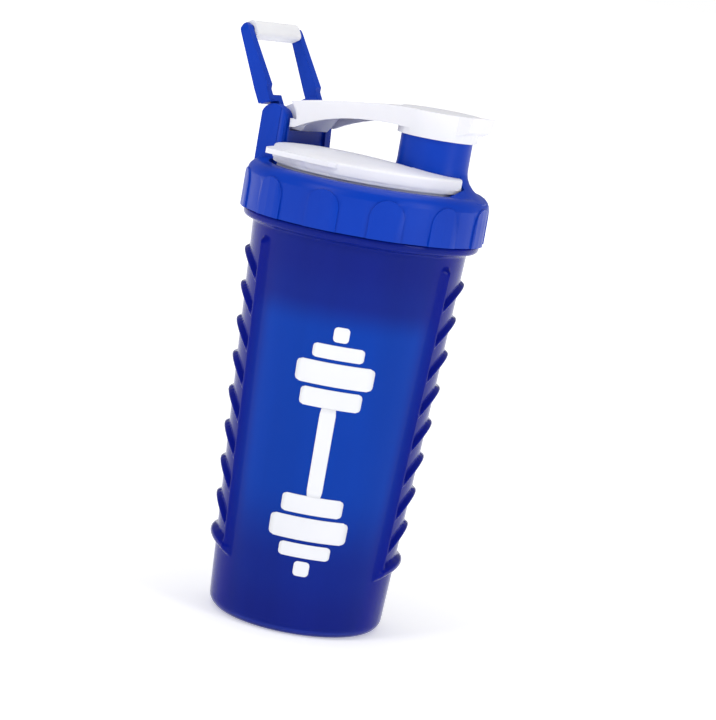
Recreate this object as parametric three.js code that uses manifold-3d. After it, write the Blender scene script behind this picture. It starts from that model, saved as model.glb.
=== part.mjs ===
// Shaker bottle with a screw lid, a flip spout cover, a carry loop and a powder cup.
// Units are millimetres, +Z is up and the origin is the middle of the base's underside.
import * as THREE from "three";
import { mergeVertices } from "three/addons/utils/BufferGeometryUtils.js";
import Module from "manifold-3d";

const wasm = await Module();
wasm.setup();

// ---- driving sizes -------------------------------------------------------------------
const gap = 0.3; // air left between two pieces that touch
const runGap = 0.6; // air round a piece that swings past another

const wallGrowth = 8.2; // how much the body wall's outer radius grows from the table to the bead
const wall = 1.6; // body wall thickness
const floorThick = 2.4;
const baseCornerR = 5.3;
const flangeTopZ = 161.3; // top of the bead that the lid closes on to
const flangeTall = 3;
const neckTall = 11.4; // neck above the bead

const threadPitch = 6;
const threadTurns = 1.2;
const threadBead = 1.1; // radius of the round thread
const threadStart = 2.6; // middle of its first turn above the bead

const gripHalfAngle = 33; // degrees from the side to the upright ridge
const gripEndZ = 30; // closing rib at the side's middle
const ribCount = 8;
const ribArch = 9.8; // how far a rib drops from the side's middle to the ridge
const ribR = 1.4;
const ribProud = 1.9;
const ridgeR = 1.7;
const ridgeProud = 2.0;
const endRibR = 2.3;
const endRibProud = 2.6;

const collarR = 48.4; // collar wall, outside
const collarTall = 18.7;
const collarWall = 2.2;
const collarEdgeR = 4.6;
const padCount = 12;
const padWide = 13.4;
const padTall = 15.4;
const padProud = 0.6;
const padTurn = -79; // degrees, where one pad's middle faces
const deckThick = 2.4;
const gasketThick = 1.0;

const lidTurn = -30; // degrees, the way the cover strip points
const stripSide = 6; // strip's centreline, measured from the bottle's axis
const spoutAlong = 23.4; // spout's centre along the strip
const spoutR = 14.2;
const spoutWall = 2.2;
const spoutTall = 24.0; // spout's rim above the collar's top
const spoutFlareR = 23.5;

const hingeAlong = -42; // hinge axis along the strip
const hingeUp = 15.7; // hinge axis above the collar's top
const pinR = 1.6;
const earR = 5.8;
const earOut = 18; // outer face of an ear from the strip's centreline
const earThick = 4.2;
const earSkin = 1.4; // plastic left over the pin's blind end
const lugThick = 3.2; // loop's eye, inside the ear

const hatchR = 39.6;
const hatchRise = 6.9; // top of the hatch's rim above the collar's top
const hatchCrown = 9.2;
const hatchRimTall = 6.1;
const hatchStepTall = 1.4; // lowest part of the rim, set in a little
const hatchWall = 2.2;
const tabThick = 2.0;
const tabFrom = -25; // finger tab's two ends along the strip
const tabTo = 8.6;
const tabProud = 1.6; // tab's straight edge, beyond the hatch's rim

const cupBack = 9; // powder cup's flat back, measured from the bottle's axis
const cupBayMore = 0.8; // its bay under the spout, wider than the spout's bore
const cupWall = 1.6;
const cupTall = 40.4;

const armHalf = 15.5; // half the cover strip's width
const armSheet = 2.0;
const capWall = 1.0;
const capTall = 10.3;
const capTopUp = 30.9; // cover's top above the collar's top
const thumbOut = 3.1; // thumb tab beyond the cap
const thumbHalf = 9;

const loopLean = 30; // degrees from upright, away from the strip
const loopLong = 37.4; // hinge axis to the middle of the top bar
const legOut = 18.4; // middle of a leg from the strip's centreline
const legThick = 3.8;
const legWide = 6.6;
const legTopWide = 3.8;
const barR = 1.9;
const gripThick = 6.8;
const gripWide = 6.6;

const whiskR = 19;
const whiskWireR = 1.0;
const whiskTurns = 5;

// ---- sizes that follow from them -------------------------------------------------------
const flangeBottomZ = flangeTopZ - flangeTall;
const flangeR = collarR - 1.1;
const neckR = collarR - 5.4; // outside of the threaded neck
const wallBaseR = neckR + 0.1 - wallGrowth;
const bodyR = (z) => wallBaseR + (wallGrowth * z) / flangeBottomZ;
const gripTopZ = flangeTopZ - 8.9;
const ribPitch = (gripTopZ - gripEndZ - 8.8) / ribCount;
const neckTopZ = flangeTopZ + neckTall;
const collarBottomZ = flangeTopZ + gap;
const collarTopZ = collarBottomZ + collarTall;
const neckInnerR = bodyR(flangeBottomZ) - wall;
const deckBottomZ = neckTopZ + gap + gasketThick + gap;
const deckTopZ = deckBottomZ + deckThick;
const collarInnerR = collarR - collarWall;
const spoutTopZ = collarTopZ + spoutTall;
const spoutBoreR = spoutR - spoutWall;
const capR = spoutR + 1.7;
const thumbReach = spoutAlong + capR + thumbOut;
const hingeZ = collarTopZ + hingeUp;
const earIn = earOut - earThick;
const lugOut = earIn - gap - 0.1;
const lugIn = lugOut - lugThick;
const notchR = spoutR + 0.7; // hatch's cut-out round the spout
const chordN = stripSide - armHalf - 0.6; // hatch's straight back edge, clear of the strip
const hatchLipR = hatchR - 1.9;
const tabReach = hatchR + tabProud;
const doorR = hatchR - 6.0; // hole in the lid's deck through which powder goes into the cup
const doorFlat = chordN - 5.8;
const hornEnd = stripSide - 2.8; // blunt end of the hatch's arm beside the spout
const cupR = neckInnerR - 5.5;
const cupTopZ = deckBottomZ - gap;
const cupBottomZ = cupTopZ - cupTall;
const hatchBottomZ = deckTopZ + gap;
const hatchRimTopZ = collarTopZ + hatchRise;
const hatchRimBottomZ = hatchRimTopZ - hatchRimTall;
const capTopZ = collarTopZ + capTopUp;
const capBottomZ = capTopZ - capTall;
const legIn = legOut - legThick / 2;
const boreR = pinR + gap;

// ---- helpers ---------------------------------------------------------------------------
const rad = THREE.MathUtils.degToRad;

// three.js geometry -> solid
function solid(geometry) {
  const bare = geometry.index ? geometry.toNonIndexed() : geometry.clone();
  bare.deleteAttribute("normal");
  bare.deleteAttribute("uv");
  const merged = mergeVertices(bare, 1e-4);
  const mesh = new wasm.Mesh({
    numProp: 3,
    vertProperties: merged.attributes.position.array,
    triVerts: new Uint32Array(merged.index.array),
  });
  return new wasm.Manifold(mesh);
}

// solid -> three.js geometry
function geometryOf(body) {
  const mesh = body.getMesh();
  const geometry = new THREE.BufferGeometry();
  const corners = new Float32Array(mesh.numVert * 3);
  for (let i = 0; i < mesh.numVert; i += 1) {
    for (let k = 0; k < 3; k += 1) {
      corners[3 * i + k] = mesh.vertProperties[mesh.numProp * i + k];
    }
  }
  geometry.setAttribute("position", new THREE.BufferAttribute(corners, 3));
  geometry.setIndex(Array.from(mesh.triVerts));
  return geometry;
}

const points = (pairs) => pairs.map(([x, y]) => new THREE.Vector2(x, y));

// Turned solid: (radius, z) pairs from the axis round to the axis, or a closed ring of pairs.
function turned(pairs, segments = 72) {
  const spun = new THREE.LatheGeometry(points(pairs), segments);
  spun.rotateX(Math.PI / 2);
  const made = solid(spun);
  if (made.volume() > 0) {
    return made;
  }
  const back = new THREE.LatheGeometry(points(pairs.slice().reverse()), segments);
  back.rotateX(Math.PI / 2);
  return solid(back);
}

const ring = (inner, outer, low, high, segments = 72) =>
  turned(
    [
      [inner, low],
      [outer, low],
      [outer, high],
      [inner, high],
      [inner, low],
    ],
    segments,
  );

// Upright cylinder about (x, y).
function post(radius, low, high, x = 0, y = 0, segments = 72) {
  const made = new THREE.CylinderGeometry(radius, radius, high - low, segments);
  made.rotateX(Math.PI / 2);
  made.translate(x, y, (low + high) / 2);
  return solid(made);
}

// Cylinder lying across the strip, about (s, z), from n0 to n1.
function cross(radius, s, z, n0, n1, segments = 32) {
  const made = new THREE.CylinderGeometry(radius, radius, n1 - n0, segments);
  made.translate(s, (n0 + n1) / 2, z);
  return solid(made);
}

function block(s0, s1, n0, n1, z0, z1) {
  const made = new THREE.BoxGeometry(s1 - s0, n1 - n0, z1 - z0);
  made.translate((s0 + s1) / 2, (n0 + n1) / 2, (z0 + z1) / 2);
  return solid(made);
}

// Side view given as (s, z) pairs, carried across the strip from n0 to n1.
function sideCut(pairs, n0, n1) {
  const shape = new THREE.Shape(points(pairs));
  const made = new THREE.ExtrudeGeometry(shape, { depth: n1 - n0, bevelEnabled: false });
  made.rotateX(Math.PI / 2);
  made.translate(0, n1, 0);
  return solid(made);
}

// Plan given as (x, y) pairs, carried upwards.
function planCut(pairs, low, high) {
  const shape = new THREE.Shape(points(pairs));
  const made = new THREE.ExtrudeGeometry(shape, { depth: high - low, bevelEnabled: false });
  made.translate(0, 0, low);
  return solid(made);
}

// Round bar swept along a curve, given as a function of 0..1.
function rod(place, radius, steps, sides = 8) {
  const path = new THREE.Curve();
  path.getPoint = (t, target = new THREE.Vector3()) => target.copy(place(t));
  const outline = [];
  for (let i = 0; i < sides; i += 1) {
    const a = (2 * Math.PI * (i + 0.5)) / sides;
    outline.push([radius * Math.cos(a), radius * Math.sin(a)]);
  }
  const made = new THREE.ExtrudeGeometry(new THREE.Shape(points(outline)), {
    steps,
    extrudePath: path,
    bevelEnabled: false,
  });
  return solid(made);
}

const ball = (radius, x, y, z, across = 8, down = 6) =>
  solid(new THREE.SphereGeometry(radius, across, down)).translate([x, y, z]);

const joined = (list) => wasm.Manifold.union(list);

// Point on a circle of the given radius, as a vector.
const round = (radius, angle, z) =>
  new THREE.Vector3(radius * Math.cos(angle), radius * Math.sin(angle), z);

// Quarter-round corner as pairs, from angle a to angle b in degrees.
function corner(x, y, radius, a, b, steps) {
  const list = [];
  for (let i = 0; i <= steps; i += 1) {
    const t = rad(a + ((b - a) * i) / steps);
    list.push([x + radius * Math.cos(t), y + radius * Math.sin(t)]);
  }
  return list;
}

// Helical thread on a circle, from `from` turns to `to` turns past the +X direction.
const thread = (radius, startZ, from, to) =>
  rod(
    (t) => {
      const turns = from + (to - from) * t;
      return round(radius, 2 * Math.PI * turns, startZ + threadPitch * turns);
    },
    threadBead,
    42,
    5,
  );

// ---- bottle body -----------------------------------------------------------------------
function makeBody() {
  const cornerX = bodyR(baseCornerR) - baseCornerR;
  const outside = [
    [0, 0],
    ...corner(cornerX, baseCornerR, baseCornerR, -90, 0, 5),
    [bodyR(flangeBottomZ - 3), flangeBottomZ - 3],
    [bodyR(flangeBottomZ) + 0.9, flangeBottomZ - 0.8],
    ...corner(flangeR - 1.7, flangeTopZ - 1.3, 1.7, -80, 0, 4),
    [flangeR, flangeTopZ],
    [neckR, flangeTopZ],
    [neckR, neckTopZ],
  ];
  const inside = [
    [0, floorThick],
    ...corner(cornerX, floorThick + baseCornerR - wall, baseCornerR - wall, -90, -6, 3),
    [neckInnerR, flangeBottomZ],
    [neckInnerR, neckTopZ + 1],
    [0, neckTopZ + 1],
  ];
  const raised = [turned([...outside, [0, neckTopZ]], 60)];
  for (const side of [0, Math.PI]) {
    for (let i = 0; i < ribCount; i += 1) {
      const middleZ = gripEndZ + ribPitch * (i + 1) + 0.8;
      raised.push(arch(side, middleZ, ribArch, ribR, ribProud));
    }
    raised.push(arch(side, gripEndZ, 2.2, endRibR, endRibProud));
    for (const way of [-1, 1]) {
      const angle = side + way * rad(gripHalfAngle);
      const sink = ridgeProud - ridgeR;
      const low = gripEndZ - 2.2;
      raised.push(
        rod(
          (t) => {
            const z = low + (gripTopZ - ridgeR - low) * t;
            return round(bodyR(z) + sink, angle, z);
          },
          ridgeR,
          1,
          6,
        ),
      );
      const top = round(bodyR(gripTopZ - ridgeR) + sink, angle, gripTopZ - ridgeR);
      raised.push(ball(ridgeR, top.x, top.y, top.z));
      const foot = round(bodyR(low) + 0.3, angle, low);
      raised.push(ball(endRibR, foot.x, foot.y, foot.z));
    }
  }
  raised.push(thread(neckR + 0.7, flangeTopZ + threadStart, 0, threadTurns));
  return joined(raised).subtract(turned(inside, 60));
}

// One grip rib: highest at the side's middle and lower at both ridges.
function arch(side, middleZ, drop, radius, proud) {
  return rod(
    (t) => {
      const across = 2 * t - 1;
      const z = middleZ - drop * across * across;
      return round(bodyR(z) + proud - radius, side + across * rad(gripHalfAngle), z);
    },
    radius,
    8,
    5,
  );
}

// ---- lid -------------------------------------------------------------------------------
// Everything on the lid is drawn with +X along the cover strip, then turned as one.

// D-shaped prism: a disc cut off straight at n = flat.
const dShape = (radius, flat, low, high) =>
  post(radius, low, high).subtract(block(-90, 90, flat, 90, low - 1, high + 1));

// Prism of the hatch's outline, grown by `more` all round.
function hatchPrism(radius, more, low, high) {
  const back = block(-90, spoutAlong - more, chordN + more, 90, low - 1, high + 1);
  const ear = block(
    -90,
    hingeAlong + earR + 0.7 - more,
    stripSide - earOut - 0.7 + more,
    90,
    low - 1,
    high + 1,
  );
  const spout = post(notchR - more / 2, low - 1, high + 1, spoutAlong, stripSide);
  const behind = block(spoutAlong, 90, hornEnd + more, 90, low - 1, high + 1);
  return post(radius + more, low, high)
    .subtract(back)
    .subtract(ear)
    .subtract(spout)
    .subtract(behind);
}

function makePads() {
  const list = [];
  const half = padWide / 2;
  for (let i = 0; i < padCount; i += 1) {
    const outline = [
      [-half, 0],
      [half, 0],
      ...corner(0, padTall - half, half, 0, 180, 8),
    ];
    const shape = new THREE.Shape(points(outline));
    const made = new THREE.ExtrudeGeometry(shape, { depth: 4, bevelEnabled: false });
    made.rotateX(Math.PI / 2);
    made.translate(0, -collarR + 2, collarBottomZ);
    list.push(solid(made).rotate([0, 0, padTurn + 90 + (360 / padCount) * i - lidTurn]));
  }
  const slice = ring(
    collarR - 0.8,
    collarR + padProud,
    collarBottomZ,
    collarBottomZ + padTall,
    72,
  );
  return joined(list).intersect(slice);
}

function makeLid() {
  const edge = corner(collarR - collarEdgeR, collarTopZ - collarEdgeR, collarEdgeR, 0, 90, 5);
  const shell = turned(
    [
      [collarInnerR, collarBottomZ],
      [collarR, collarBottomZ],
      ...edge,
      [0, collarTopZ],
      [0, deckBottomZ],
      [collarInnerR, deckBottomZ],
      [collarInnerR, collarBottomZ],
    ],
    72,
  );
  const flare = [
    [0, deckBottomZ + 0.5],
    [spoutFlareR, deckBottomZ + 0.5],
  ];
  const flareTall = 12;
  for (let i = 0; i <= 6; i += 1) {
    const t = i / 6;
    const spread = (spoutFlareR - spoutR) * (1 - t) ** 2.6;
    flare.push([spoutR + spread, collarTopZ - 1.4 + flareTall * t]);
  }
  const spout = turned([...flare, [spoutR, spoutTopZ], [0, spoutTopZ]], 56)
    .translate([spoutAlong, stripSide, 0])
    .intersect(post(collarR - 0.6, deckBottomZ, 300));
  const bracket = makeBracket();
  const inner = thread(
    collarInnerR - 0.8,
    flangeTopZ + threadStart - threadPitch / 2,
    0.35,
    0.35 + threadTurns,
  );
  const pocket = hatchPrism(hatchR, 1.0, deckTopZ, 260);
  const throat = post(spoutBoreR, deckBottomZ - 1, spoutTopZ + 1, spoutAlong, stripSide, 48);
  const under = block(-27, 6, cupBack + 2, 30, deckBottomZ - 1, collarTopZ - deckThick)
    .subtract(post(spoutR + 0.5, deckBottomZ - 2, 260, spoutAlong, stripSide));
  const door = dShape(doorR, doorFlat, deckBottomZ - 1, deckTopZ + 1);
  return joined([shell, makePads(), spout, bracket, inner])
    .subtract(pocket)
    .subtract(throat)
    .subtract(under)
    .subtract(door);
}

function makeBracket() {
  const baseZ = collarTopZ - 3;
  const left = hingeAlong - earR;
  const right = hingeAlong + earR;
  const earSide = [
    [left + 0.4, baseZ],
    [right + 8, baseZ],
    [right + 7, collarTopZ],
    [right + 3.2, collarTopZ + 1.6],
    [right + 0.8, collarTopZ + 5],
    ...corner(hingeAlong, hingeZ, earR, 0, 180, 12),
  ];
  const webTop = hingeZ - earR + 1.8;
  const webSide = [
    [left + 1.6, baseZ],
    [right + 7.4, baseZ],
    [right + 6.4, collarTopZ],
    [right + 2.6, collarTopZ + 1.6],
    [right + 0.2, collarTopZ + 5],
    [right - 0.6, collarTopZ + 8],
    [right - 0.6, webTop],
    [left + 1.6, webTop],
  ];
  const n0 = stripSide - earOut;
  const n1 = stripSide + earOut;
  const ears = joined([
    sideCut(earSide, n0, n0 + earThick),
    sideCut(earSide, n1 - earThick, n1),
    sideCut(webSide, n0 + 1, n1 - 1),
  ]);
  return ears
    .intersect(post(collarR + padProud, 0, 300))
    .subtract(cross(boreR, hingeAlong, hingeZ, n0 + earSkin, n1 + 1, 24))
    .subtract(cross(earR + runGap, hingeAlong, hingeZ, n0 + earThick, n1 - earThick));
}

// ---- powder cup and hatch --------------------------------------------------------------
// Prism of the cup's outline, grown by `more` all round.
const cupPrism = (more, low, high) =>
  post(cupR + more, low, high)
    .subtract(
      post(spoutBoreR + cupBayMore - more, low - 1, high + 1, spoutAlong, stripSide, 48),
    )
    .subtract(block(-90, 90, cupBack + more, 90, low - 1, high + 1));

const makeCup = () =>
  cupPrism(0, cupBottomZ, cupTopZ).subtract(
    cupPrism(-cupWall, cupBottomZ + cupWall, cupTopZ + 1),
  );

// The hatch's domed outside, dropped by `down`.
function dome(down) {
  const base = hatchRimTopZ - down;
  const rise = hatchCrown - hatchRise;
  const pairs = [
    [0, hatchBottomZ - 2],
    [hatchR + 1, hatchBottomZ - 2],
    [hatchR + 1, base - 1.6],
    [hatchR, base - 1.0],
    [hatchR - 0.3, base - 0.3],
    [hatchR - 1.0, base],
  ];
  for (let i = 1; i < 7; i += 1) {
    const t = 1 - i / 7;
    const r = (hatchR - 1.0) * t;
    pairs.push([r, base + rise * (1 - t ** 2.4)]);
  }
  pairs.push([0, base + rise]);
  return turned(pairs, 72);
}

function makeHatch() {
  const rim = hatchPrism(hatchR, 0, hatchRimBottomZ + hatchStepTall, 230).intersect(dome(0));
  const step = hatchPrism(hatchR - 0.5, 0, hatchRimBottomZ, hatchRimBottomZ + 3);
  const lip = hatchPrism(hatchLipR, -0.4, hatchBottomZ, hatchRimBottomZ + 1);
  const tabZ = hatchRimTopZ - tabThick - 0.4;
  const tab = planCut(
    [
      [tabFrom - 5, -hatchR + 15],
      [tabFrom - 2, -tabReach + 4.8],
      [tabFrom + 0.4, -tabReach + 0.9],
      [tabFrom + 2.4, -tabReach],
      [tabTo - 4, -tabReach],
      [tabTo - 1.2, -tabReach + 1.2],
      [tabTo, -tabReach + 4],
      [tabTo, -hatchR + 12],
    ],
    tabZ,
    tabZ + tabThick,
  );
  const seat = dShape(doorR + 2.1, doorFlat + 2.1, hatchBottomZ - 1, hatchBottomZ + 1.8);
  const hollow = dShape(doorR - 0.4, doorFlat - 0.4, hatchBottomZ - 1, 230).intersect(
    dome(hatchWall),
  );
  return joined([rim, step, lip, tab]).subtract(seat).subtract(hollow);
}

const makeHatchGasket = () =>
  dShape(doorR + 1.8, doorFlat + 1.8, hatchBottomZ, hatchBottomZ + 1.5).subtract(
    dShape(doorR + 0.2, doorFlat + 0.2, hatchBottomZ - 1, hatchBottomZ + 3),
  );

// ---- cover strip -----------------------------------------------------------------------
// Height of the strip's top at a place along it.
function armTop(s) {
  const t = THREE.MathUtils.clamp((s - hingeAlong) / (spoutAlong - hingeAlong), 0, 1);
  return capTopZ - 8.4 * (1 - t) ** 1.8;
}

// Height of the side walls' lower edge.
function armEdge(s) {
  const t = THREE.MathUtils.clamp((s - hingeAlong - 8) / (spoutAlong - hingeAlong - 8), 0, 1);
  return capTopZ - 7.6 - 10.2 * (1 - t) ** 3.2;
}

function armSide(drop, from) {
  const over = [];
  const below = [];
  for (let i = 0; i <= 14; i += 1) {
    const s = from + ((spoutAlong - from) * i) / 14;
    over.push([s, armTop(s) - drop]);
    below.push([s, drop > 0 ? armEdge(s) - 12 : armEdge(s)]);
  }
  return [...over, ...below.reverse()];
}

function makeArm() {
  const start = hingeAlong + 5;
  const n0 = stripSide - armHalf;
  const n1 = stripSide + armHalf;
  const channel = sideCut(armSide(0, start), n0, n1).subtract(
    sideCut(armSide(armSheet, start - 1), n0 + armSheet, n1 - armSheet),
  );
  const cap = post(capR, capBottomZ, capTopZ, spoutAlong, stripSide);
  const thumb = sideCut(
    [
      [spoutAlong + 10, capTopZ],
      [spoutAlong + 10, capTopZ - 7.2],
      [spoutAlong + capR - 1, capTopZ - 7.2],
      [spoutAlong + capR + 2.4, capTopZ - 5.4],
      [thumbReach, capTopZ - 0.6],
      [thumbReach, capTopZ + 0.5],
      [spoutAlong + capR - 4, capTopZ],
    ],
    stripSide - thumbHalf,
    stripSide + thumbHalf,
  );
  const barrelN = lugIn - gap;
  const barrel = cross(earR - 0.8, hingeAlong, hingeZ, stripSide - barrelN, stripSide + barrelN);
  const root = sideCut(
    [
      [hingeAlong, hingeZ + earR - 0.8],
      [hingeAlong, hingeZ - earR + 2.4],
      [start + 4, hingeZ - earR + 2.4],
      [start + 12, armTop(start + 12) - 3],
      [start + 12, armTop(start + 12) - 1],
      [start, armTop(start)],
    ],
    stripSide - barrelN,
    stripSide + barrelN,
  );
  const inside = post(capR - capWall, capBottomZ - 1, spoutTopZ + 2.2, spoutAlong, stripSide);
  let arm = joined([channel, cap, thumb]).subtract(inside);
  // The ears and the loop's feet need room on both sides of the barrel.
  for (const [a, b] of [
    [stripSide - 40, stripSide - barrelN],
    [stripSide + barrelN, stripSide + 40],
  ]) {
    arm = arm.subtract(cross(earR + runGap + 0.3, hingeAlong, hingeZ, a, b));
    arm = arm.subtract(block(-90, hingeAlong + earR + runGap + 0.3, a, b, 0, hingeZ));
    const sweep = cross(9.6, hingeAlong, hingeZ, a, b).intersect(
      block(-90, 90, a, b, hingeZ + 1.2, hingeZ + 30),
    );
    arm = arm.subtract(sweep);
  }
  return joined([arm, barrel, root]).subtract(
    cross(boreR, hingeAlong, hingeZ, stripSide - 40, stripSide + 40, 24),
  );
}

function makeSpoutSeal() {
  const under = spoutTopZ + gap;
  return turned(
    [
      [0, under - 2.6],
      [spoutBoreR - 0.9, under - 2.6],
      [spoutBoreR - 0.4, under - 1.8],
      [spoutBoreR - 0.4, under],
      [capR - capWall - gap, under],
      [capR - capWall - gap, spoutTopZ + 2.2 - gap],
      [0, spoutTopZ + 2.2 - gap],
    ],
    56,
  ).translate([spoutAlong, stripSide, 0]);
}

// ---- carry loop ------------------------------------------------------------------------
// Drawn standing straight up from the hinge axis at the origin, then leaned and placed.
const leaned = (body) =>
  body.rotate([0, -loopLean, 0]).translate([hingeAlong, stripSide, hingeZ]);

function makeLoop() {
  const footLow = earR + runGap + 0.1;
  const footHigh = 9.1;
  const parts = [];
  for (const way of [-1, 1]) {
    const n = (a, b) => (way < 0 ? [-b, -a] : [a, b]);
    parts.push(cross(earR - 1.2, 0, 0, ...n(lugIn, lugOut)));
    parts.push(block(-2.1, 2.1, ...n(lugIn, lugOut), 2, footHigh));
    parts.push(block(-2.1, 2.1, ...n(lugIn, legOut + legThick / 2), footLow, footHigh));
    const leg = [
      [-legWide / 2, footLow + 0.6],
      [legWide / 2 - 1, footLow + 0.6],
      [legWide / 2 - 1, footHigh + 2.4],
      [legWide / 2, footHigh + 4],
      [legTopWide / 2, loopLong + gripThick / 2 - 2.2],
      [legTopWide / 2 - 1.2, loopLong + gripThick / 2 - 0.6],
      [-legTopWide / 2 + 1.2, loopLong + gripThick / 2 - 0.6],
      [-legTopWide / 2, loopLong + gripThick / 2 - 2.2],
      [-legWide / 2, footHigh + 4],
    ];
    parts.push(sideCut(leg, ...n(legIn, legOut + legThick / 2)));
  }
  parts.push(cross(barR, 0, loopLong, -legOut, legOut, 20));
  const bores = cross(boreR, 0, 0, -60, 60, 24);
  // Round off the loop's two upper outer corners.
  const outer = legOut + legThick / 2;
  const high = loopLong + gripThick / 2;
  const cuts = [];
  for (const way of [-1, 1]) {
    const square = block(-20, 20, way * (outer - 4) - 4, way * (outer - 4) + 4, high - 4, high + 4);
    const keep = solid(
      new THREE.CylinderGeometry(4, 4, 40, 32).rotateZ(Math.PI / 2),
    ).translate([0, way * (outer - 4), high - 4]);
    const outside = block(-20, 20, way * outer - 4, way * outer + 4, high - 4, high + 4);
    cuts.push(square.intersect(outside).subtract(keep));
  }
  return leaned(joined(parts).subtract(bores).subtract(joined(cuts)));
}

function makeGrip() {
  const half = legIn - gap;
  const wide = gripWide / 2;
  const tall = gripThick / 2;
  const outline = [
    ...corner(wide - 1.8, loopLong + tall - 1.8, 1.8, 0, 90, 4),
    ...corner(-wide + 1.8, loopLong + tall - 1.8, 1.8, 90, 180, 4),
    ...corner(-wide + 1.8, loopLong - tall + 1.8, 1.8, 180, 270, 4),
    ...corner(wide - 1.8, loopLong - tall + 1.8, 1.8, 270, 360, 4),
  ];
  return leaned(
    sideCut(outline, -half, half).subtract(
      cross(barR + gap, 0, loopLong, -half - 1, half + 1, 20),
    ),
  );
}

function makePin() {
  const blindEnd = stripSide - earOut + earSkin + gap;
  return cross(pinR, hingeAlong, hingeZ, blindEnd, stripSide + earOut - 0.2, 24);
}

// ---- whisk ball ------------------------------------------------------------------------
function makeWhisk() {
  const polar = rad(24);
  const lowest = floorThick + gap + whiskWireR;
  const centreZ = lowest + whiskR * Math.cos(polar);
  return rod(
    (t) => {
      const tilt = Math.PI - polar - (Math.PI - 2 * polar) * t;
      const around = 2 * Math.PI * whiskTurns * t;
      const level = whiskR * Math.sin(tilt);
      return new THREE.Vector3(
        level * Math.cos(around),
        level * Math.sin(around),
        centreZ + whiskR * Math.cos(tilt),
      );
    },
    whiskWireR,
    120,
    5,
  );
}

// ---- assembly --------------------------------------------------------------------------
const group = new THREE.Group();
group.name = "shaker_bottle";
const lidGroup = new THREE.Group();
lidGroup.rotation.z = rad(lidTurn);
group.add(lidGroup);

function add(parent, name, body, color, roughness, metalness = 0) {
  const material = new THREE.MeshStandardMaterial({ color, roughness, metalness });
  material.name = name;
  const mesh = new THREE.Mesh(geometryOf(body), material);
  mesh.name = name;
  parent.add(mesh);
}

const blue = "#1040bc";
const clearBlue = "#0c3cb0";
const white = "#eeeef4";
const rubber = "#d9dbe2";

add(group, "bottle_body", makeBody(), clearBlue, 0.22);
add(group, "whisk_ball", makeWhisk(), "#c4c6c9", 0.22, 1);
add(lidGroup, "lid_shell", makeLid(), blue, 0.38);
add(
  lidGroup,
  "lid_gasket",
  ring(neckInnerR + 0.2, collarInnerR - 2.4, neckTopZ + gap, neckTopZ + gap + gasketThick),
  rubber,
  0.7,
);
add(lidGroup, "powder_cup", makeCup(), clearBlue, 0.3);
add(lidGroup, "hatch_cap", makeHatch(), white, 0.42);
add(lidGroup, "hatch_gasket", makeHatchGasket(), rubber, 0.7);
add(lidGroup, "flip_cover", makeArm(), white, 0.42);
add(lidGroup, "spout_seal", makeSpoutSeal(), rubber, 0.7);
add(lidGroup, "hinge_pin", makePin(), "#b9bbbe", 0.3, 1);
add(lidGroup, "carry_loop", makeLoop(), blue, 0.38);
add(lidGroup, "loop_grip", makeGrip(), white, 0.5);

export default group;
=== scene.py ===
"""Looks of the shaker bottle round the fixed frame: surfaces, finishes, print, light and camera."""
import math

import bmesh
import bpy
import numpy as np
from mathutils import Matrix, Vector


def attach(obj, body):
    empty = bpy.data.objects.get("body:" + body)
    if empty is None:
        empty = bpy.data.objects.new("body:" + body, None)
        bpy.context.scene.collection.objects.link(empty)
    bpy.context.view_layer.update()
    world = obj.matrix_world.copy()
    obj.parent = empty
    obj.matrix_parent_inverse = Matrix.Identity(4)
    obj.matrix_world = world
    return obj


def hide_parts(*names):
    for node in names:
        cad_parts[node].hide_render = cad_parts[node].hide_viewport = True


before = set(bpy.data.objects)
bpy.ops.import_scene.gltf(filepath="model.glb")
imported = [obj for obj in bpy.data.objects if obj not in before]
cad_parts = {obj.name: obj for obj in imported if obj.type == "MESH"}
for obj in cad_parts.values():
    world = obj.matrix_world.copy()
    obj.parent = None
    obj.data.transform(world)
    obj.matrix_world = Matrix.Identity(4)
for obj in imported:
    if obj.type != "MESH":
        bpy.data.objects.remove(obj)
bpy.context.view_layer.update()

MM = 0.001

# ---- sizes, in millimetres ---------------------------------------------------------------------
WALL_BASE, WALL_SLOPE, WALL = 34.9, 8.2 / 158.3, 1.6
FLOOR, CORNER = 2.4, 5.3
BEAD_LOW, BEAD_TOP, BEAD_R = 158.3, 161.3, 47.3
NECK_R, NECK_TOP = 43.0, 172.7
GRIP_HALF, GRIP_TOP, GRIP_END = math.radians(33), 152.4, 30.0
RIB_PITCH, RIB_COUNT, RIB_ARCH = 14.2, 8, 9.8
RIB_HALF, RIB_TALL = 1.45, 1.9
FOOT_HALF, FOOT_TALL, FOOT_ARCH = 2.7, 2.6, 2.2
RIDGE_HALF, RIDGE_TALL, RIDGE_RUN_OUT = 1.3, 2.0, 4.2
INK_PROUD, INK_THICK = 0.1, 0.08
TONE_TOP = 200  # height at which the bottle's colour stops, painted shade among them, end

# ---- grids, in points --------------------------------------------------------------------------
BASE_POINTS, CORNER_POINTS = 2, 9
BOTTLE_COLUMNS = 384
INK_POINTS = 15


def wall_radius(z):
    """Outer radius of the plain tapered wall: grows in a straight line with height."""
    return WALL_BASE + WALL_SLOPE * z


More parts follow.
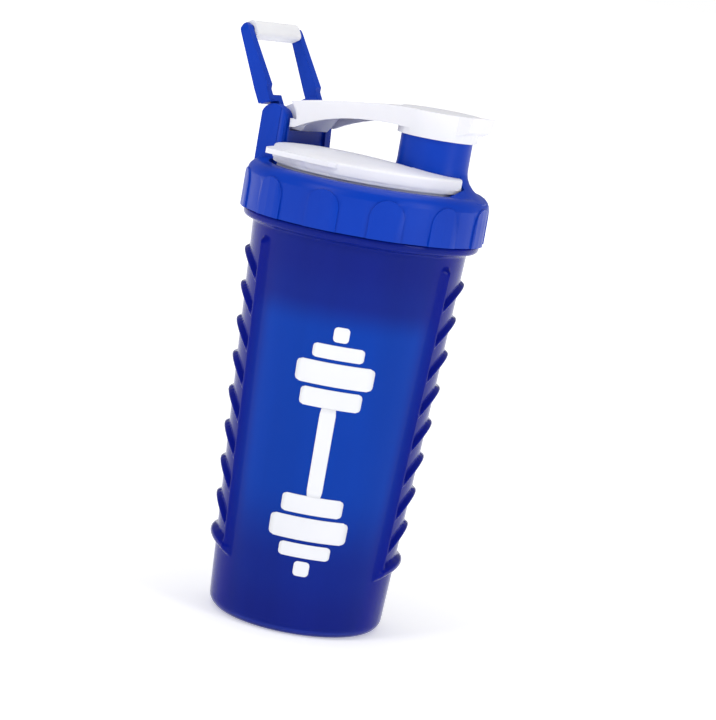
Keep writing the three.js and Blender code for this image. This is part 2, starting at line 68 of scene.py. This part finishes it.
# ---- mesh helpers ------------------------------------------------------------------------------
def grid_mesh(name, places):
    """Closed mesh over a grid of places (rows, columns, 3) in mm. Rows run along the outline, columns
    go round and the last joins the first, and the first and last rows are single points."""
    rows, cols = places.shape[:2]
    flat = places.reshape(-1, 3) * MM
    r, c = np.meshgrid(np.arange(rows - 1), np.arange(cols), indexing="ij")
    n = (c + 1) % cols
    corners = [r * cols + c, r * cols + n, (r + 1) * cols + n, (r + 1) * cols + c]
    mesh = bpy.data.meshes.new(name)
    mesh.from_pydata(flat, [], np.stack(corners, -1).reshape(-1, 4))
    mesh.update()
    piece = bpy.data.objects.new(name, mesh)
    bpy.context.scene.collection.objects.link(piece)
    merged = bmesh.new()
    merged.from_mesh(mesh)
    bmesh.ops.remove_doubles(merged, verts=merged.verts, dist=1e-7)
    bmesh.ops.recalc_face_normals(merged, faces=merged.faces)
    merged.to_mesh(mesh)
    merged.free()
    smooth(mesh)
    return piece


def smooth(mesh, angle=None):
    """Smooth shading all over, with creases kept where faces meet at more than the angle in degrees."""
    mesh.polygons.foreach_set("use_smooth", np.ones(len(mesh.polygons), bool))
    if angle is not None:
        mesh.set_sharp_from_angle(angle=math.radians(angle))
    mesh.update()


def finish_piece(piece, body, material):
    """Give a piece its material and the body it rides on."""
    piece.data.materials.clear()
    piece.data.materials.append(material)
    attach(piece, body)
    return piece


def softened(node, body, material, edge=0.25, angle=32):
    """Merged copy of a frame node. Edges sharper than the angle are rounded by a bevel `edge` mm wide."""
    piece = bpy.data.objects.new(node + "_skin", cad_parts[node].data.copy())
    bpy.context.scene.collection.objects.link(piece)
    merged = bmesh.new()
    merged.from_mesh(piece.data)
    bmesh.ops.remove_doubles(merged, verts=merged.verts, dist=2e-6)
    bmesh.ops.dissolve_limit(
        merged,
        angle_limit=math.radians(0.6),
        verts=merged.verts,
        edges=merged.edges,
        delimit={"NORMAL"},
    )
    merged.to_mesh(piece.data)
    merged.free()
    smooth(piece.data, angle)
    if edge:
        bevel = piece.modifiers.new("edge", "BEVEL")
        bevel.width = edge * MM
        bevel.segments = 2
        bevel.limit_method = "ANGLE"
        bevel.angle_limit = math.radians(angle)
        bevel.use_clamp_overlap = True
        bevel.harden_normals = True
    finish_piece(piece, body, material)
    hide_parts(node)


# ---- finishes ----------------------------------------------------------------------------------
def shader(name):
    """Empty material with its Principled shader, node maker, linker and node tree."""
    mat = bpy.data.materials.new(name)
    mat.use_nodes = True
    tree = mat.node_tree
    tree.nodes.clear()
    out = tree.nodes.new("ShaderNodeOutputMaterial")
    main = tree.nodes.new("ShaderNodeBsdfPrincipled")
    tree.links.new(main.outputs["BSDF"], out.inputs["Surface"])

    def make(kind, **values):
        node = tree.nodes.new("ShaderNode" + kind)
        for key, value in values.items():
            if hasattr(node, key):
                setattr(node, key, value)
            else:
                node.inputs[key.replace("_", " ")].default_value = value
        return node

    def link(a, out_name, b, in_name):
        tree.links.new(a.outputs[out_name], b.inputs[in_name])

    return mat, main, make, link, tree


def spread(make, link, source, name, low, high, from_low=0.3, from_high=0.7):
    """Map Range node that carries a noise factor from one band to another."""
    band = make("MapRange")
    band.inputs["From Min"].default_value = from_low
    band.inputs["From Max"].default_value = from_high
    band.inputs["To Min"].default_value = low
    band.inputs["To Max"].default_value = high
    link(source, name, band, "Value")
    return band


def moulded_plastic(name, dark, light, rough, grain, depth, scatter=0.0, specular=0.5):
    """Injection-moulded plastic: cloudy tone, uneven polish and a fine spark-eroded grain."""
    mat, main, make, link, tree = shader(name)
    place = make("TexCoord")
    cloud = make("TexNoise", Scale=26.0, Detail=3.0, Roughness=0.55)
    link(place, "Object", cloud, "Vector")
    tone = make("Mix", data_type="RGBA")
    tone.inputs[6].default_value = (*dark, 1)
    tone.inputs[7].default_value = (*light, 1)
    tree.links.new(spread(make, link, cloud, "Fac", 0, 1).outputs[0], tone.inputs[0])
    tree.links.new(tone.outputs[2], main.inputs["Base Color"])
    streak = make("TexNoise", Scale=90.0, Detail=2.0, Roughness=0.5)
    link(place, "Object", streak, "Vector")
    polish = spread(make, link, streak, "Fac", rough * 0.88, rough * 1.14)
    tree.links.new(polish.outputs[0], main.inputs["Roughness"])
    fine = make("TexNoise", Scale=grain, Detail=2.0, Roughness=0.6)
    link(place, "Object", fine, "Vector")
    bump = make("Bump", Strength=0.35, Distance=depth * MM)
    link(fine, "Fac", bump, "Height")
    link(bump, "Normal", main, "Normal")
    main.inputs["Specular IOR Level"].default_value = specular
    if scatter:
        main.inputs["Subsurface Weight"].default_value = scatter
        main.inputs["Subsurface Radius"].default_value = (1.0, 0.9, 0.8)
        main.inputs["Subsurface Scale"].default_value = 0.0025
    return mat


def tinted_plastic(name, tone_and_shade_stops, side, clear, rough):
    """Pigmented see-through plastic with faint upright flow marks and a glossy skin. Its colour runs
    through the given (height in mm, colour) stops, which can hold painted shade, and turns to the side
    colour, a painted shade, round the grips, as the share x*x / (x*x + y*y) of the place passes a half."""
    mat, main, make, link, tree = shader(name)
    place = make("TexCoord")
    apart = make("SeparateXYZ")
    link(place, "Object", apart, "Vector")
    height = make("MapRange")
    height.inputs["From Max"].default_value = TONE_TOP * MM
    link(apart, "Z", height, "Value")
    # colour stops by height; on the bottle they hold painted shade
    ramp = make("ValToRGB")
    ramp.color_ramp.interpolation = "EASE"
    for k, (z, colour) in enumerate(tone_and_shade_stops):
        stops = ramp.color_ramp.elements
        stop = stops[k] if k < 2 else stops.new(z / TONE_TOP)
        stop.position = z / TONE_TOP
        stop.color = (*colour, 1)
    link(height, "Result", ramp, "Fac")
    squares = []
    for axis in "XY":
        square = make("Math", operation="MULTIPLY")
        link(apart, axis, square, 0)
        link(apart, axis, square, 1)
        squares.append(square)
    total = make("Math", operation="ADD")
    link(squares[0], 0, total, 0)
    link(squares[1], 0, total, 1)
    share = make("Math", operation="DIVIDE")
    link(squares[0], 0, share, 0)
    link(total, 0, share, 1)
    # painted shade: the wall's colour turns darker round the grips, where it faces away to the sides
    side_shade_mask = make("MapRange", interpolation_type="SMOOTHSTEP")
    side_shade_mask.inputs["From Min"].default_value = 0.45
    side_shade_mask.inputs["From Max"].default_value = 0.74
    link(share, 0, side_shade_mask, "Value")
    flow = make("Mapping", vector_type="POINT")
    flow.inputs["Scale"].default_value = (60, 60, 9)
    link(place, "Object", flow, "Vector")
    marks = make("TexNoise", Scale=1.0, Detail=3.0, Roughness=0.5)
    link(flow, "Vector", marks, "Vector")
    tone_with_side_shade = make("Mix", data_type="RGBA")
    link(side_shade_mask, "Result", tone_with_side_shade, 0)
    link(ramp, "Color", tone_with_side_shade, 6)
    tone_with_side_shade.inputs[7].default_value = (*side, 1)
    tone = make("Mix", data_type="RGBA", blend_type="MULTIPLY")
    tone.inputs[0].default_value = 1.0
    tree.links.new(tone_with_side_shade.outputs[2], tone.inputs[6])
    tree.links.new(spread(make, link, marks, "Fac", 0.88, 1.0).outputs[0], tone.inputs[7])
    tree.links.new(tone.outputs[2], main.inputs["Base Color"])
    polish = spread(make, link, marks, "Fac", rough * 0.9, rough * 1.15)
    tree.links.new(polish.outputs[0], main.inputs["Roughness"])
    waves = make("TexNoise", Scale=120.0, Detail=1.0)
    link(place, "Object", waves, "Vector")
    bump = make("Bump", Strength=0.12, Distance=0.05 * MM)
    link(waves, "Fac", bump, "Height")
    link(bump, "Normal", main, "Normal")
    main.inputs["Transmission Weight"].default_value = clear
    main.inputs["IOR"].default_value = 1.2
    main.inputs["Specular IOR Level"].default_value = 0.35
    return mat


def bright_wire(name):
    """Drawn stainless wire: bright metal with fine draw lines."""
    mat, main, make, link, tree = shader(name)
    place = make("TexCoord")
    lines = make("TexNoise", Scale=400.0, Detail=2.0)
    link(place, "Object", lines, "Vector")
    main.inputs["Base Color"].default_value = (0.62, 0.62, 0.64, 1)
    main.inputs["Metallic"].default_value = 1.0
    polish = spread(make, link, lines, "Fac", 0.16, 0.34)
    tree.links.new(polish.outputs[0], main.inputs["Roughness"])
    return mat


def soft_silicone(name, colour):
    """Pale silicone: matt, slightly translucent, with a faint cloudy grain."""
    shade = tuple(0.92 * c for c in colour)
    return moulded_plastic(name, shade, colour, 0.62, 900, 0.03, scatter=0.3)


royal_blue = moulded_plastic(
    "royal_blue", (0.0005, 0.036, 0.40), (0.001, 0.046, 0.46), 0.34, 1500, 0.025, specular=0.14
)
lid_white = moulded_plastic(
    "lid_white", (0.80, 0.80, 0.86), (0.86, 0.86, 0.91), 0.42, 1500, 0.02, scatter=0.25
)
sleeve_white = moulded_plastic(
    "sleeve_white", (0.80, 0.80, 0.83), (0.87, 0.87, 0.89), 0.6, 1100, 0.06, scatter=0.15
)
print_white = moulded_plastic(
    "print_white", (0.82, 0.83, 0.88), (0.87, 0.88, 0.92), 0.45, 1800, 0.01
)
# The side colour is painted shade: the darker colour the wall is given round the grips.
NAVY, BRIGHT, SIDE_SHADE = (0.006, 0.020, 0.30), (0.002, 0.062, 0.52), (0.001, 0.009, 0.33)
# Colour stops by height: darker towards the foot, and from 122 mm up a painted shade of the powder cup
# that stands behind the wall.
TONE_AND_SHADE_BANDS = [
    (8, NAVY),
    (26, (0.005, 0.026, 0.34)),
    (62, BRIGHT),
    (122, BRIGHT),
    (135, (0.006, 0.026, 0.33)),
    (150, NAVY),
]
bottle_blue = tinted_plastic("bottle_blue", TONE_AND_SHADE_BANDS, SIDE_SHADE, 0.28, 0.14)
cup_blue = tinted_plastic("cup_blue", [(0, NAVY), (TONE_TOP, NAVY)], NAVY, 0.2, 0.3)
seal_pale = soft_silicone("seal_pale", (0.72, 0.74, 0.78))
steel_wire = bright_wire("steel_wire")


# ---- bottle ------------------------------------------------------------------------------------
def grip_relief(angle, z):
    """How far the moulded grip stands out of the wall. The greatest of: an upright ridge at each edge
    (half-ellipse on the grip's side, long smooth run-out on the panel's side), eight round ribs whose
    middle line falls with the square of the angle from the side, and a fuller rib that closes the foot."""
    side = np.where(np.cos(angle) >= 0, angle, np.pi - angle)
    side = (side + np.pi) % (2 * np.pi) - np.pi
    share = side / GRIP_HALF
    radius = wall_radius(z)
    inside = np.abs(share) <= 1.0
    relief = np.zeros_like(z)
    slope = 2 * RIB_ARCH * share / (GRIP_HALF * radius)
    for i in range(RIB_COUNT):
        middle = GRIP_END + RIB_PITCH * (i + 1) + 0.8 - RIB_ARCH * share**2
        off = (z - middle) / np.sqrt(1 + slope**2)
        relief = np.maximum(relief, np.where(inside, rounded(off, RIB_HALF, RIB_TALL), 0))
    foot = GRIP_END - FOOT_ARCH * share**2
    end_fade = np.clip((1.16 - np.abs(share)) / 0.16, 0, 1)
    relief = np.maximum(relief, rounded(z - foot, FOOT_HALF, FOOT_TALL) * np.sqrt(end_fade))
    across = (np.abs(side) - GRIP_HALF) * radius
    outer = np.clip(1 - across / RIDGE_RUN_OUT, 0, 1)
    run_out = RIDGE_TALL * (outer * outer * (3 - 2 * outer)) ** 0.9
    ridge = np.where(across < 0, rounded(across, RIDGE_HALF, RIDGE_TALL), run_out)
    top = np.clip((GRIP_TOP - z) / 2.6, 0, 1)
    low = np.clip((z - GRIP_END + 5.0) / 5.0, 0, 1)
    ridge = ridge * np.sqrt(1 - (1 - top) ** 2) * np.sqrt(1 - (1 - low) ** 2)
    return np.maximum(relief, ridge)


def rounded(off, half, tall):
    """Half-ellipse bump, eased at its foot so that it runs into the wall."""
    t = np.clip(1 - (off / half) ** 2, 0, 1)
    return tall * t ** 0.62


def arc(cx, cz, radius, start, stop, count):
    """Points on a circle in the (radius, height) plane between two angles in degrees."""
    a = np.radians(np.linspace(start, stop, count))
    return np.stack([cx + radius * np.cos(a), cz + radius * np.sin(a)], -1)


def bottle_surface():
    """Turned outline swept round the axis: base, tapered wall with the grips' relief added outwards,
    bead, plain neck, then the hollow's wall and floor back to the axis."""
    corner_x = wall_radius(CORNER) - CORNER
    plain_z = np.linspace(CORNER, 24, 8)[1:]
    grip_z = np.linspace(24.4, 153.6, 196)
    wall_z = np.concatenate([plain_z, grip_z, [155.0, 156.2]])
    neck_in = wall_radius(BEAD_LOW) - WALL
    low = FLOOR + CORNER - WALL
    inner_z = np.linspace(150, low + 4, 8)
    outline = np.concatenate([
        [[0.0, 0.0], [corner_x * 0.5, 0.0]],
        arc(corner_x, CORNER, CORNER, -90, 0, CORNER_POINTS),
        np.stack([wall_radius(wall_z), wall_z], -1),
        [[wall_radius(157.0) + 0.25, 157.0], [wall_radius(BEAD_LOW) + 1.2, BEAD_LOW - 0.7]],
        arc(BEAD_R - 2.0, BEAD_TOP - 1.45, 2.0, -70, 0, 7),
        arc(BEAD_R - 0.5, BEAD_TOP - 0.5, 0.5, 0, 90, 3),
        [[NECK_R, BEAD_TOP], [NECK_R, NECK_TOP - 0.3], [NECK_R - 0.3, NECK_TOP]],
        [[neck_in + 0.3, NECK_TOP], [neck_in, NECK_TOP - 0.3], [neck_in, BEAD_LOW]],
        np.stack([wall_radius(inner_z) - WALL, inner_z], -1),
        arc(corner_x, low, CORNER - WALL, 0, -90, 5),
        [[corner_x * 0.5, FLOOR], [0.0, FLOOR]],
    ])
    around = np.linspace(0, 2 * np.pi, BOTTLE_COLUMNS, endpoint=False)
    radius, height = outline[:, :1], outline[:, 1:]
    angle = np.broadcast_to(around, (len(outline), len(around)))
    level = np.broadcast_to(height, angle.shape)
    rows = np.arange(len(outline))[:, None]
    first = BASE_POINTS + CORNER_POINTS
    outside = (rows >= first) & (rows < first + len(wall_z))
    grown = radius + np.where(outside, grip_relief(angle, level), 0)
    return np.stack([grown * np.cos(angle), grown * np.sin(angle), level], -1)


bottle = grid_mesh("bottle_wall", bottle_surface())
finish_piece(bottle, "bottle", bottle_blue)
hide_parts("bottle_body")


# ---- the rest of the frame, with softened edges ------------------------------------------------
softened("whisk_ball", "whisk", steel_wire, edge=0, angle=70)
softened("lid_shell", "lid", royal_blue, edge=0.3, angle=24)
softened("lid_gasket", "gasket", seal_pale, edge=0.12)
softened("powder_cup", "lid", cup_blue, edge=0.2)
softened("hatch_cap", "hatch", lid_white, edge=0.25, angle=24)
softened("hatch_gasket", "hatch", seal_pale, edge=0.12)
softened("flip_cover", "cover", lid_white, edge=0.3, angle=26)
softened("spout_seal", "cover", seal_pale, edge=0.12)
softened("hinge_pin", "lid", steel_wire, edge=0.15)
softened("carry_loop", "loop", royal_blue, edge=0.5, angle=30)
softened("loop_grip", "loop", sleeve_white, edge=0.25, angle=40)


# ---- print on the front panel ------------------------------------------------------------------
def printed_bars(name, bars):
    """One ink film made of round-ended bars. Each bar is (across, height, half width, half height, corner)
    on the unrolled front wall: a grid of u, v in -1..1 is squeezed so that its edge follows the
    rounded rectangle, then wrapped on the wall, a little proud of it."""
    line = np.linspace(-1, 1, INK_POINTS)
    u, v = np.meshgrid(line, line, indexing="xy")
    places, quads, start = [], [], 0
    r, c = np.meshgrid(np.arange(INK_POINTS - 1), np.arange(INK_POINTS - 1), indexing="ij")
    here, above = r * INK_POINTS + c, (r + 1) * INK_POINTS + c
    square = np.stack([here, here + 1, above + 1, above], -1)
    for across, height, half_w, half_h, corner in bars:
        x, y = u * half_w, v * half_h
        dx, dy = np.abs(x) - (half_w - corner), np.abs(y) - (half_h - corner)
        both = (dx > 0) & (dy > 0)
        far = np.maximum(dx, dy)
        length = np.maximum(np.hypot(dx, dy), 1e-9)
        pull = np.where(both, far / length, 1.0)
        x = np.where(both, np.sign(x) * (half_w - corner + dx * pull), x)
        y = np.where(both, np.sign(y) * (half_h - corner + dy * pull), y)
        z = height + y
        radius = wall_radius(z) + INK_PROUD
        angle = -np.pi / 2 + (across + x) / wall_radius(height)
        wrapped = np.stack([radius * np.cos(angle), radius * np.sin(angle), z], -1)
        places.append(wrapped.reshape(-1, 3))
        quads.append(square.reshape(-1, 4) + start)
        start += INK_POINTS * INK_POINTS
    mesh = bpy.data.meshes.new(name)
    mesh.from_pydata(np.concatenate(places) * MM, [], np.concatenate(quads))
    mesh.update()
    film = bpy.data.objects.new(name, mesh)
    bpy.context.scene.collection.objects.link(film)
    smooth(mesh)
    thick = film.modifiers.new("film", "SOLIDIFY")
    thick.thickness = INK_THICK * MM
    thick.offset = 0
    finish_piece(film, "bottle", print_white)


def dumbbell_bars():
    """A plain upright dumbbell: a handle with three plates and a knob at each end."""
    middle = 75.0
    plates = (
        (21.5, 12.2, 3.7, 1.8),
        (31.2, 15.6, 4.6, 2.2),
        (40.0, 10.2, 2.8, 1.6),
        (47.2, 3.1, 3.0, 1.6),
    )
    bars = [(0, middle, 3.1, 18.0, 1.2)]
    for way in (-1, 1):
        for off, half_w, half_h, corner in plates:
            bars.append((0, middle + way * off, half_w, half_h, corner))
    return bars


printed_bars("front_print", dumbbell_bars())


# ---- floor, light and camera -------------------------------------------------------------------
def pale_floor():
    """Wide pale sheet that glows a little more the further it lies from the bottle."""
    mesh = bpy.data.meshes.new("floor")
    half = 30.0
    corners = [(-half, -half, 0), (half, -half, 0), (half, half, 0), (-half, half, 0)]
    mesh.from_pydata(corners, [], [(0, 1, 2, 3)])
    floor = bpy.data.objects.new("floor", mesh)
    bpy.context.scene.collection.objects.link(floor)
    mat, main, make, link, _ = shader("floor_paper")
    main.inputs["Base Color"].default_value = (0.93, 0.93, 0.93, 1)
    main.inputs["Roughness"].default_value = 0.9
    main.inputs["Specular IOR Level"].default_value = 0.1
    main.inputs["Emission Color"].default_value = (1, 1, 1, 1)
    place = make("TexCoord")
    far = make("VectorMath", operation="LENGTH")
    link(place, "Object", far, 0)
    glow = make("MapRange", interpolation_type="SMOOTHSTEP")
    glow.inputs["From Min"].default_value = 0.15
    glow.inputs["From Max"].default_value = 1.6
    glow.inputs["To Min"].default_value = 0.38
    glow.inputs["To Max"].default_value = 0.9
    link(far, "Value", glow, "Value")
    link(glow, "Result", main, "Emission Strength")
    mesh.materials.append(mat)


def soft_box(name, place, target, wide, tall, watts):
    """White rectangular lamp at a place, turned to face the target, and not seen itself."""
    lamp = bpy.data.lights.new(name, "AREA")
    lamp.shape = "RECTANGLE"
    lamp.size, lamp.size_y, lamp.energy = wide, tall, watts
    holder = bpy.data.objects.new(name, lamp)
    bpy.context.scene.collection.objects.link(holder)
    holder.location = place
    aim = Vector(target) - Vector(place)
    holder.rotation_euler = aim.to_track_quat("-Z", "Y").to_euler()
    holder.visible_camera = False


def white_world(strength):
    """White surroundings: full white where seen directly, the given strength as light."""
    world = bpy.data.worlds.new("studio")
    bpy.context.scene.world = world
    world.use_nodes = True
    back = world.node_tree.nodes["Background"]
    back.inputs["Color"].default_value = (1, 1, 1, 1)
    seen = world.node_tree.nodes.new("ShaderNodeLightPath")
    level = world.node_tree.nodes.new("ShaderNodeMapRange")
    level.inputs["To Min"].default_value = strength
    level.inputs["To Max"].default_value = 1.0
    world.node_tree.links.new(seen.outputs["Is Camera Ray"], level.inputs["Value"])
    world.node_tree.links.new(level.outputs[0], back.inputs["Strength"])


def place_camera(away, high, aside, pitch, roll, focal_px):
    """Camera in front of the bottle, tipped down by pitch, then rolled so that the bottle leans to
    the right. The focal length is given in the unit of which the frame's long side has 720."""
    long_side, film = 720, 36
    data = bpy.data.cameras.new("camera")
    data.lens = focal_px / long_side * film
    data.sensor_width = film
    data.clip_end = 100
    camera = bpy.data.objects.new("camera", data)
    bpy.context.scene.collection.objects.link(camera)
    p, r = math.radians(pitch), math.radians(roll)
    ahead = Vector((0, math.cos(p), -math.sin(p)))
    right = Vector((1, 0, 0))
    up = right.cross(ahead)
    right_r = right * math.cos(r) + up * math.sin(r)
    up_r = up * math.cos(r) - right * math.sin(r)
    turn = Matrix((right_r, up_r, -ahead)).transposed().to_4x4()
    turn.translation = Vector((aside, -away, high)) * MM
    camera.matrix_world = turn
    bpy.context.scene.camera = camera


pale_floor()
white_world(0.36)
soft_box("key_left", (-0.9, -0.9, 0.9), (0, 0, 0.12), 0.5, 0.9, 7)
soft_box("fill_right", (1.0, -0.7, 0.6), (0, 0, 0.12), 0.4, 0.9, 5)
soft_box("top_wash", (0, 0.1, 1.2), (0, 0, 0.1), 0.9, 0.9, 5)
place_camera(away=1072.5, high=275.8, aside=7.8, pitch=8.92, roll=10.0, focal_px=2718.0)
bpy.context.scene.view_settings.view_transform = "Standard"
